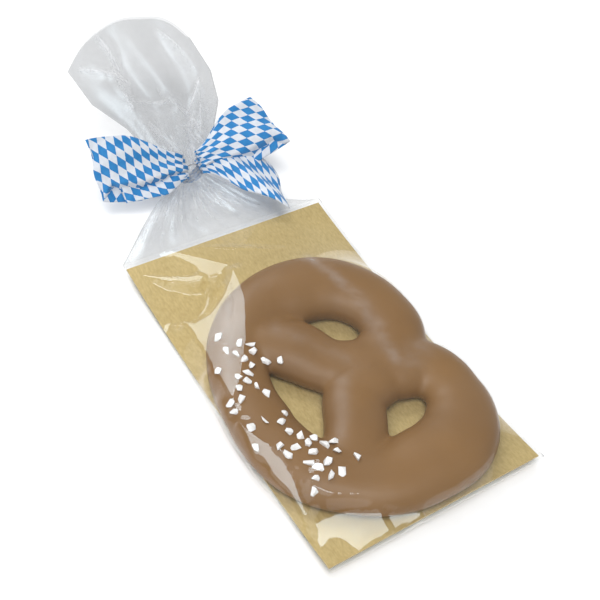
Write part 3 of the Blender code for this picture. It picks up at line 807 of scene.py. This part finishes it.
def funnel_point(share, u):
    """Middle surface, its normal and the bag's half-thickness between the card and the tie."""
    dome = np.sqrt(np.maximum(0.0, 1 - u * u))
    hump = math.sin(math.pi * share)
    drawn_in = min(1.0, share / TIED)
    left, right = -BAG_HALF_WIDTH, BAG_HALF_WIDTH
    left_way = (1 - LEFT_LATE) * drawn_in + LEFT_LATE * drawn_in ** LEFT_LATE_POWER
    left += (NECK.x - NECK_HALF_WIDTH - left) * left_way
    right += (NECK.x + NECK_HALF_WIDTH - right) * drawn_in ** RIGHT_POWER
    x = placed(left, right, u)
    y = BAG_END + (NECK.y - BAG_END) * share
    flat = CARD_BOW + FUNNEL_HALF
    z = flat + (NECK.z - flat) * share ** RISE_POWER
    wave = FUNNEL_WAVE * np.cos(FUNNEL_WAVES * math.pi * u) * hump
    tied_half = NECK_HALF_HEIGHT * dome + NECK_FILM
    half = FUNNEL_HALF + (tied_half - FUNNEL_HALF) * share ** FUNNEL_HALF_POWER
    half = half + FUNNEL_SWELL * dome * hump
    middle = np.stack([x, np.full_like(x, y), z + wave], -1)
    return middle, np.array([0.0, 0.0, 1.0]), np.maximum(half, LEAST_HALF)


def fullness(share):
    """How far the funnel's pleats stand out of the film."""
    if share < PRESSED_FROM:
        return LEAST_FULLNESS + math.sin(math.pi * (share * FULLNESS_RATE) ** FULLNESS_POWER)
    return PRESSED_FULLNESS


def funnel_part():
    """The film from the card's edge to the tie, in pleats: its rows, its tint with painted shade in
    valleys, and its haze with painted highlight on ridges.
    """
    rows = {1: [], -1: []}
    relief = []
    shares = even_shares(FUNNEL_ROWS)[1:]
    for share in shares:
        for side, u in SHEETS:
            middle, normal, half = funnel_point(share, u)
            sway = FINE_SWAY * math.sin(FINE_SWAY_RATE * share)
            fine = pleats(u + sway, middle, side, *FINE_PLEATS)
            broad = pleats(u, middle, side, *BROAD_PLEATS)
            gathered = (fine * share ** FINE_POWER + broad) * fullness(share) * MM
            gathered = faded(gathered, u, share, FUNNEL_FADE)
            rows[side].append(middle + normal * (side * half + gathered)[:, None])
            if side > 0:
                relief.append(gathered / MM)
    near = np.array(shares)[:, None]
    return rows[1], rows[-1], *shading(near, np.array(relief), *FUNNEL_SHADES)


def mouth_line(u, corner, power):
    return TUFT_LENGTH - (TUFT_LENGTH - corner) * np.abs(u) ** power


def tuft_point(share, u):
    """Middle surface, its normal and the half-thickness past the tie, with x and d in mm."""
    dome = np.sqrt(np.maximum(0.0, 1 - u * u))
    shares, lefts, rights = zip(*TUFT_EDGES)
    x = placed(np.interp(share, shares, lefts), np.interp(share, shares, rights), u) * MM
    mouth = np.where(u < 0, mouth_line(u, *TUFT_LEFT_CORNER), mouth_line(u, *TUFT_RIGHT_CORNER))
    d = mouth * share
    swell = math.sin(math.pi * (share * TUFT_WAVE_SPAN + TUFT_WAVE_START))
    wave = TUFT_WAVE * np.sin(TUFT_WAVES * math.pi * u + TUFT_WAVE_SHIFT) * swell
    wave = wave * (1 - TUFT_WAVE_FADE * u * u)
    middle = np.array(NECK) + x[:, None] * np.array([1.0, 0, 0]) + d[:, None] * np.array(TUFT_ALONG)
    middle = middle + wave[:, None] * np.array(TUFT_NORMAL)
    half = NECK_HALF_HEIGHT * dome + NECK_FILM
    half = half + (TUFT_HALF - half) * float(smoothstep(share / TUFT_THIN_FROM))
    return middle, np.array(TUFT_NORMAL), np.maximum(half, LEAST_HALF), x / MM, d / MM


def crumple(x, y, cell, slope, seed):
    """Creased film: flat facets that meet in sharp lines, about cell apart; everything in mm."""
    chance = np.random.default_rng(seed)
    (x0, x1), (y0, y1) = FACET_SPREAD
    number = int((x1 - x0) * (y1 - y0) / cell ** 2)
    seeds = np.column_stack([chance.uniform(x0, x1, number), chance.uniform(y0, y1, number)])
    turns = chance.uniform(0, math.tau, number)
    slopes = slope * chance.uniform(*FACET_SLOPES, (number, 3))
    lowest = np.full(x.shape, np.inf)
    for (sx, sy), turn, steep in zip(seeds, turns, slopes):
        away = [
            ((x - sx) * math.cos(angle) + (y - sy) * math.sin(angle)) * rise
            for angle, rise in zip(turn + np.arange(3) * math.tau / 3, steep)
        ]
        lowest = np.minimum(lowest, np.max(away, axis=0))
    return lowest - lowest.mean()


def tuft_relief(x, d, side):
    """Crumples and folds of one sheet of the tuft, in mm."""
    gather = smoothstep((GATHER_END - d) / GATHER_SPAN)
    relief = np.zeros_like(x)
    for shortening, cell, slope, seeds, at_mouth, at_tie in TUFT_CRUMPLES:
        facets = crumple(x, d * shortening, cell, slope, seeds[side])
        relief = relief + facets * (at_mouth + at_tie * gather)
    for fold in TUFT_FOLDS:
        relief = relief + ridge(x, d, *fold)
    return relief


def tuft_part():
    """The gathered film past the tie: its rows, its tint with painted shade in valleys, and its haze
    with painted highlights on ridges and along its folds.
    """
    rows, reliefs, grids = {}, {}, {}
    shares = even_shares(TUFT_ROWS)[1:]
    for side, u in SHEETS:
        places = [tuft_point(share, u) for share in shares]
        grids[side] = [np.array([place[part] for place in places]) for part in (3, 4)]
        relief = reliefs[side] = tuft_relief(*grids[side], side)
        rows[side] = []
        for index, (share, (middle, normal, half, _, _)) in enumerate(zip(shares, places)):
            rays = pleats(u, middle, side, *RAY_PLEATS) * math.exp(-share / RAY_REACH)
            relief[index] = faded(relief[index] + rays, u, share, TUFT_FADE)
            lift = side * half + relief[index] * MM
            rows[side].append(middle + normal * lift[:, None])
    near = np.exp(-np.array(shares)[:, None] / NEAR_TIE)
    tint_and_painted_shade, haze_and_painted_sheen = shading(near, reliefs[1], *TUFT_SHADES)
    return rows[1], rows[-1], tint_and_painted_shade, haze_and_painted_sheen + painted_sheen_bands(*grids[1], TUFT_PAINTED_SHEEN_LINES)


def make_bag(contents, surface):
    """The film as one skin: upper sheet and lower sheet, closed at the end and open at the mouth."""
    parts = flat_part(contents, surface), funnel_part(), tuft_part()
    return bag_mesh(*(np.concatenate(values) for values in zip(*parts)))


def bag_mesh(upper, lower, tint_and_painted_shade, haze_and_painted_sheen):
    """Joins the two sheets along their sides and stores each place's tint and haze, which also carry
    painted shade and painted highlights.
    """
    points, top_index, low_index = [], [], []
    step = ACROSS // UNDER
    for top, low in zip(upper, lower):
        start, middle = len(points), len(points) + len(top)
        points += [*top, *low[1:-1]]
        top_index.append(list(range(start, middle)))
        low_index.append([start, *range(middle, len(points)), middle - 1])
    faces = quads(top_index) + [face[::-1] for face in quads(low_index)]
    # The closed end is a row of narrow faces; at the sides both sheets share a corner.
    top, low = top_index[0], low_index[0]
    for i in range(UNDER):
        corners = (*reversed(top[i * step:(i + 1) * step + 1]), low[i], low[i + 1])
        faces.append(tuple(dict.fromkeys(corners)))
    mesh = mesh_from("bag_film", points, faces)
    for name, values in (("tint_and_painted_shade", tint_and_painted_shade), ("haze_and_painted_sheen", haze_and_painted_sheen)):
        layer = mesh.attributes.new(name, "FLOAT", "POINT")
        values = np.hstack([values, values[:, step:-step:step]])
        layer.data.foreach_set("value", values.astype(np.float32).ravel())
    return mesh


def clear_film():
    """Thin clear film: seen through, tinted a little by each layer and darker in valleys as painted
    shade, with gloss from both faces, and milky white where haze and painted highlights lie.
    """
    made, output, where = new_material("clear_film")
    tint_and_painted_shade = add(where, "ShaderNodeAttribute", attribute_name="tint_and_painted_shade").outputs["Fac"]
    haze_and_painted_sheen = add(where, "ShaderNodeAttribute", attribute_name="haze_and_painted_sheen").outputs["Fac"]
    through = add(where, "ShaderNodeBsdfTransparent", {
        "Color": ramp(tint_and_painted_shade, (0.0, (0.985, 0.985, 0.982)), (1.0, (0.770, 0.772, 0.775))),
    })
    facing = add(where, "ShaderNodeLayerWeight", {"Blend": 0.5}).outputs["Facing"]
    grazing = math_node("POWER", facing, GRAZING_POWER)
    gloss = add(where, "ShaderNodeBsdfGlossy", {
        "Color": ramp(grazing, (0.0, (0.80, 0.93, 1.0)), (0.1, (1.0, 1.0, 1.0))),
        "Roughness": scaled(tint_and_painted_shade, by=0.22, plus=0.05),
    })
    uneven = scaled(noise(where, 38.0, detail=2.0), by=0.052, plus=0.020)
    share = scaled(grazing, by=0.85, plus=uneven, clamp=True)
    share = math_node("MULTIPLY", share, scaled(tint_and_painted_shade, by=-0.35, plus=1.0))
    shiny = add(where, "ShaderNodeMixShader", [share, through.outputs[0], gloss.outputs[0]])
    # Matte white of the haze; where the haze attribute holds painted highlights, it paints them onto the
    # film.
    milky_haze_and_sheen = add(where, "ShaderNodeMixShader", [
        0.5,
        add(where, "ShaderNodeBsdfDiffuse", {"Color": HAZE_AND_SHEEN_WHITE}).outputs[0],
        add(where, "ShaderNodeBsdfTranslucent", {"Color": HAZE_AND_SHEEN_WHITE}).outputs[0],
    ])
    patchy = scaled(noise(where, 130.0, detail=4.0), by=1.6, plus=-0.3, clamp=True)
    veil = scaled(math_node("MULTIPLY", haze_and_painted_sheen, patchy), by=0.8, plus=0.006)
    film = add(where, "ShaderNodeMixShader", [veil, shiny.outputs[0], milky_haze_and_sheen.outputs[0]])
    put_on(output, film)
    return made


# ---- lozenge ribbon ----

RIBBON_WIDTH = 40 * MM
RIBBON_THICKNESS = 0.5 * MM
RIBBON_AT_KNOT = 0.34  # share of its width that the ribbon takes at the knot
RIBBON_CELLS = 32  # across its width
RIBBON_PLEATS = 7
RIBBON_UNEVEN = 0.25
RIBBON_SHALLOWEST = 0.6
RIBBON_PLEAT_DEPTH = 0.30  # as a share of a pleat's width, times the slack
SLACK_POWER = 1.5
RIBBON_WAVE = 0.9 * MM
RIBBON_HALF_WAVES = 3.1  # across its width
RIBBON_DRIFT = 0.15  # radians that the wave moves on from row to row
LOZENGE_LONG = 10.8  # mm, diagonals of one lozenge
LOZENGE_SHORT = 5.6
THREAD = 0.55  # mm
BOW_LEAN = math.radians(33)
BOW_ACROSS = Vector((0, math.cos(BOW_LEAN), math.sin(BOW_LEAN)))
BOW_UP = Vector((0, -math.sin(BOW_LEAN), math.cos(BOW_LEAN)))
KNOT = NECK + mm(0, -3, 10)
HALF_KNOT = mm(4.6, 0, -1.5)
TUCK_ENDS = 0.46  # share of a loop's strip where the tucked edge opens out again
TUCK_OPENS = 6  # how fast it opens out
TUCK_LIFT = 0.45
TUCK_DEPTH = 1.0
TUCK_GATHER = 0.22
TUCK_RATE = 0.9  # radians that the tuck's gathers move on from row to row
LOOP_ROWS = 72
LOOP_POWER = 0.8  # below 1, a loop turns round within a short way of its end
LOOP_FULLNESS_RATE = 1.6
LOOP_FULLNESS_START = 0.35
LOOP_OPENS = 1.6
LOOP_SWELL = 5.2 * MM
LOOP_SAG = 4.0 * MM
TAIL_ROWS = 40
TAIL_OPENS = 2.0
WRAP_ROWS = 40
WRAP_FROM, WRAP_TO = math.radians(125), math.radians(415)
WRAP_HALF_WIDTH = NECK_HALF_WIDTH + 1.2 * MM
WRAP_HALF_HEIGHT = NECK_HALF_HEIGHT + 2.0 * MM
WRAP_SHARE = 0.20
MIX_FIRST, MIX_SECOND, MIX_RESULT = 6, 7, 2  # the colour sockets of a Mix node


def ribbon_band(stations, slant, seed, tuck):
    """A strip of ribbon: (middle point, direction of its width, share of its width) stations.

    Where the ribbon is gathered it stands in pleats, so that it keeps its width of cloth. The map
    of its lozenges is turned by slant, the angle of their long diagonal from the ribbon's way.
    The share tuck of its width is folded back along its lower edge, on the first half of the strip.
    """
    v = np.linspace(-0.5, 0.5, RIBBON_CELLS + 1)
    points, across, shares = zip(*stations)
    points = np.array(points)
    across = np.array([side.normalized() for side in across])
    ways = np.gradient(points, axis=0)
    ways /= np.linalg.norm(ways, axis=1)[:, None]
    normals = np.cross(ways, across)
    normals /= np.linalg.norm(normals, axis=1)[:, None]
    lengths = np.concatenate([[0], np.cumsum(np.linalg.norm(np.diff(points, axis=0), axis=1))])
    folds = zigzag(v, 0.5, RIBBON_PLEATS, RIBBON_UNEVEN, RIBBON_SHALLOWEST, seed)
    folds = np.convolve(np.pad(folds, 1, mode="edge"), [0.25, 0.5, 0.25], "valid")
    grid, uv = [], []
    angle = math.radians(slant)
    aside = v * RIBBON_WIDTH / MM
    for row, (point, side, normal, share) in enumerate(zip(points, across, normals, shares)):
        slack = max(0.0, 1 - share) ** SLACK_POWER
        depth = RIBBON_WIDTH / RIBBON_PLEATS * RIBBON_PLEAT_DEPTH * slack * folds
        wave = np.sin(RIBBON_HALF_WAVES * v * math.pi + RIBBON_DRIFT * row)
        tucked = tuck * float(smoothstep((TUCK_ENDS - row / len(points)) * TUCK_OPENS))
        under = np.clip(tucked - 0.5 - v, 0, None)
        gather = TUCK_DEPTH + TUCK_GATHER * math.sin(TUCK_RATE * row)
        back = math.copysign(RIBBON_WIDTH, -normal[2]) * under * gather
        rise = depth + RIBBON_WAVE * wave * share + back
        sideways = v + TUCK_LIFT * under
        along = lengths[row] / MM
        for i in range(RIBBON_CELLS + 1):
            grid.append(point + side * RIBBON_WIDTH * share * sideways[i] + normal * rise[i])
            uv.append((
                (along * math.cos(angle) + aside[i] * math.sin(angle)) / LOZENGE_LONG,
                (-along * math.sin(angle) + aside[i] * math.cos(angle)) / LOZENGE_SHORT,
            ))
    return grid, quads(np.arange(len(grid)).reshape(-1, RIBBON_CELLS + 1)), uv


def opened(full_share, way):
    """Share of the ribbon's width, from the knot at way 0 to its full share at way 1."""
    return RIBBON_AT_KNOT + (full_share - RIBBON_AT_KNOT) * float(smoothstep(way))


def loop_stations(reach, end_across, full_share):
    """One loop of the bow: out from the knot on top, round its end and back underneath."""
    end = NECK + reach
    start = KNOT + Vector((math.copysign(HALF_KNOT.x, reach.x), HALF_KNOT.y, HALF_KNOT.z))
    path = []
    for t in even_shares(LOOP_ROWS):
        distance = math.sin(math.pi * t) ** LOOP_POWER
        bulge = math.sin(math.pi * min(t, 1 - t) * LOOP_FULLNESS_RATE + LOOP_FULLNESS_START)
        lift = BOW_UP * math.cos(math.pi * t) * bulge * (LOOP_SWELL if t < 0.5 else LOOP_SAG)
        across = BOW_ACROSS.lerp(end_across, distance)
        share = opened(full_share, distance * LOOP_OPENS)
        path.append((start.lerp(end, distance) + lift, across, share))
    return path


def tail_stations(middle, end, end_across, full_share):
    """One tail of the bow: out of the knot and down to its cut end, past a middle point."""
    start = KNOT + Vector((math.copysign(HALF_KNOT.x, end.x - KNOT.x), HALF_KNOT.y, 2 * HALF_KNOT.z))
    path = []
    for t in even_shares(TAIL_ROWS):
        point = start * (1 - t) ** 2 + middle * 2 * t * (1 - t) + end * t * t
        across = BOW_ACROSS.lerp(end_across, float(smoothstep(t)))
        path.append((point, across, opened(full_share, t * TAIL_OPENS)))
    return path


def wrap_stations():
    """The ribbon drawn tight round the neck, under it from one half of the bow to the other."""
    axis = Vector((0, math.cos(TUFT_TILT / 2), math.sin(TUFT_TILT / 2)))
    up = Vector((0, -axis.z, axis.y))
    right = Vector((1, 0, 0))
    path = []
    for t in even_shares(WRAP_ROWS):
        angle = WRAP_FROM + (WRAP_TO - WRAP_FROM) * t
        aside = right * WRAP_HALF_WIDTH * math.cos(angle)
        path.append((NECK + aside + up * WRAP_HALF_HEIGHT * math.sin(angle), axis, WRAP_SHARE))
    return path


def make_ribbon():
    """Both loops, both tails and the turn round the neck, as one cloth."""
    # Each band's stations, the slant of its lozenges in degrees, its seed and its tuck.
    bands = (
        (loop_stations(mm(-58.5, 8, 15), Vector((0, 0.53, 0.85)), 0.94), 70, 1, 0.26),
        (loop_stations(mm(56, 1, 21), Vector((-0.33, 0.82, 0.47)), 0.91), -38, 2, 0.24),
        (tail_stations(mm(30, 146, 28), mm(47, 121, 13), Vector((0.31, 0.95, 0)), 1), -58, 3, 0),
        (tail_stations(mm(-20, 155, 25), mm(-44, 159.5, 23.5), Vector((0, 0.75, 0.66)), 0.8), 60, 4, 0),
        (wrap_stations(), 60, 5, 0),
    )
    points, faces, uvs = [], [], []
    for band in bands:
        grid, cells, uv = ribbon_band(*band)
        faces += [tuple(i + len(points) for i in cell) for cell in cells]
        points += grid
        uvs += uv
    mesh = mesh_from("ribbon", points, faces)
    layer = mesh.uv_layers.new(name="lozenges")
    for corner in mesh.loops:
        layer.data[corner.index].uv = uvs[corner.vertex_index]
    cloth = linked(mesh, "ribbon")
    thick = cloth.modifiers.new("cloth", "SOLIDIFY")
    thick.thickness = RIBBON_THICKNESS
    thick.offset = 0.0
    return applied(cloth)


def lozenge_cloth():
    """White and blue lozenges woven in threads, on the ribbon's own map."""
    made, output, where = new_material("lozenge_cloth")
    uv = add(where, "ShaderNodeUVMap", uv_map="lozenges").outputs["UV"]
    parts = add(where, "ShaderNodeSeparateXYZ", [uv]).outputs
    wobble = scaled(noise(where, 900.0), by=0.05, plus=-0.025)
    steps = []
    for operation in ("ADD", "SUBTRACT"):
        slanted = math_node(operation, parts["X"], parts["Y"])
        shifted = math_node("ADD", math_node("ADD", slanted, wobble), 0.5)
        steps.append(math_node("FLOOR", shifted))
    blue = math_node("PINGPONG", math_node("ADD", *steps), 1.0)
    tone = noise(where, 260.0)
    colour = add(where, "ShaderNodeMix", {
        "Factor": blue,
        MIX_FIRST: ramp(tone, (0.3, (0.61, 0.65, 0.71)), (0.7, (0.71, 0.74, 0.80))),
        MIX_SECOND: ramp(tone, (0.3, (0.022, 0.185, 0.46)), (0.7, (0.036, 0.240, 0.56))),
    }, data_type="RGBA")
    threads = []
    for direction, diagonal in (("X", LOZENGE_LONG), ("Y", LOZENGE_SHORT)):
        wave = math_node("MULTIPLY", parts[direction], math.tau / (THREAD / diagonal))
        threads.append(math_node("SINE", wave))
    weave = math_node("MULTIPLY", *threads)
    relief = scaled(noise(where, 1500.0), by=0.8, plus=weave)
    principled(output, {
        "Base Color": colour.outputs[MIX_RESULT],
        "Roughness": 0.75,
        "Specular IOR Level": 0.25,
        "Sheen Weight": 0.15,
        "Sheen Roughness": 0.5,
        "Normal": bump(relief, distance=0.06 * MM, strength=0.6),
    })
    return made


# ---- floor ----

FLOOR_HALF = 3.0
FLOOR_DROP = 0.3 * MM  # keeps it clear of the pack's underside


def add_floor():
    half = FLOOR_HALF
    corners = [(-half, -half, 0), (half, -half, 0), (half, half, 0), (-half, half, 0)]
    mesh = mesh_from("floor", corners, [(0, 1, 2, 3)])
    floor = linked(mesh, "floor")
    floor.location.z = -FLOOR_DROP
    made, output, where = new_material("studio_floor")
    tone = noise(where, 60.0)
    principled(output, {
        "Base Color": ramp(tone, (0.4, (0.93, 0.93, 0.93)), (0.6, (0.95, 0.95, 0.95))),
        "Roughness": 0.9,
        "Specular IOR Level": 0.1,
    })
    mesh.materials.append(made)


# ---- put together ----

add_camera()
add_studio()
add_floor()

dough = make_dough()
coating = BVHTree.FromPolygons(*joined(dough))
grains = make_sugar(coating)
packed, packed_faces = joined(dough, grains)
film = make_bag(np.array(packed), BVHTree.FromPolygons(packed, packed_faces))

piece("pretzel_chocolate", dough, chocolate(), "pretzel")
piece("sugar_grains", grains, sugar(), "pretzel")
piece("bag_film", film, clear_film(), "bag")
ribbon = piece("ribbon_bow", make_ribbon(), lozenge_cloth(), "ribbon")

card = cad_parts["card"]
for slot in card.material_slots:
    slot.material = gold_board()
